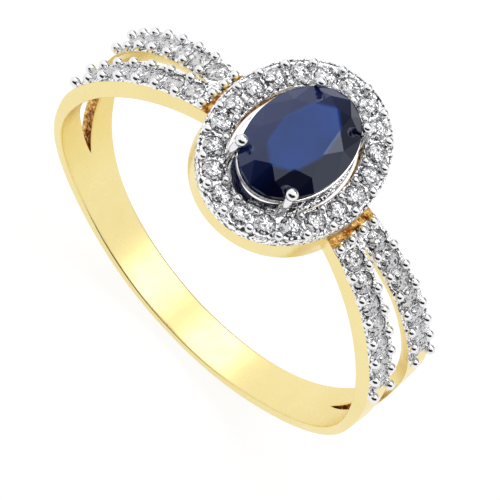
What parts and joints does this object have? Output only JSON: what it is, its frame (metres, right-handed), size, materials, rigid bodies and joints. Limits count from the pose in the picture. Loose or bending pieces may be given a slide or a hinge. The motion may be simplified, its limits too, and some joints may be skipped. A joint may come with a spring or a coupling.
{
  "type": "engagement ring",
  "caption": "Two-tone engagement ring: oval blue sapphire in a claw basket, oval diamond halo, and a split shank with pavé-set shoulders.",
  "frame": {"origin": "centre of the finger bore, midway across the band", "axes": "+Z from the bore's centre up through the head and the centre stone, Y along the finger bore, X from shoulder to shoulder"},
  "size_m": [0.0184, 0.0092, 0.0208],
  "materials": {
    "yellow_gold": "polished yellow gold",
    "white_gold": "polished, rhodium-plated white gold",
    "diamond": "faceted, colourless",
    "sapphire": "faceted, deep blue"
  },
  "bodies": {
    "root": {"shank": "yellow_gold", "halo_gallery": "yellow_gold", "halo_pave_plate": "white_gold", "centre_basket": "white_gold", "centre_sapphire": "sapphire", "shoulder_pave_left": "white_gold", "shoulder_pave_right": "white_gold", "halo_diamond_01": "diamond", "halo_diamond_02": "diamond", "halo_diamond_03": "diamond", "halo_diamond_04": "diamond", "halo_diamond_05": "diamond", "halo_diamond_06": "diamond", "halo_diamond_07": "diamond", "halo_diamond_08": "diamond", "halo_diamond_09": "diamond", "halo_diamond_10": "diamond", "halo_diamond_11": "diamond", "halo_diamond_12": "diamond", "halo_diamond_13": "diamond", "halo_diamond_14": "diamond", "halo_diamond_15": "diamond", "halo_diamond_16": "diamond", "halo_diamond_17": "diamond", "halo_diamond_18": "diamond", "halo_diamond_19": "diamond", "halo_diamond_20": "diamond", "left_front_diamond_1": "diamond", "left_front_diamond_2": "diamond", "left_front_diamond_3": "diamond", "left_front_diamond_4": "diamond", "left_front_diamond_5": "diamond", "left_front_diamond_6": "diamond", "left_front_diamond_7": "diamond", "left_rear_diamond_1": "diamond", "left_rear_diamond_2": "diamond", "left_rear_diamond_3": "diamond", "left_rear_diamond_4": "diamond", "left_rear_diamond_5": "diamond", "left_rear_diamond_6": "diamond", "left_rear_diamond_7": "diamond", "right_front_diamond_1": "diamond", "right_front_diamond_2": "diamond", "right_front_diamond_3": "diamond", "right_front_diamond_4": "diamond", "right_front_diamond_5": "diamond", "right_front_diamond_6": "diamond", "right_front_diamond_7": "diamond", "right_rear_diamond_1": "diamond", "right_rear_diamond_2": "diamond", "right_rear_diamond_3": "diamond", "right_rear_diamond_4": "diamond", "right_rear_diamond_5": "diamond", "right_rear_diamond_6": "diamond", "right_rear_diamond_7": "diamond"}
  },
  "joints": []
}
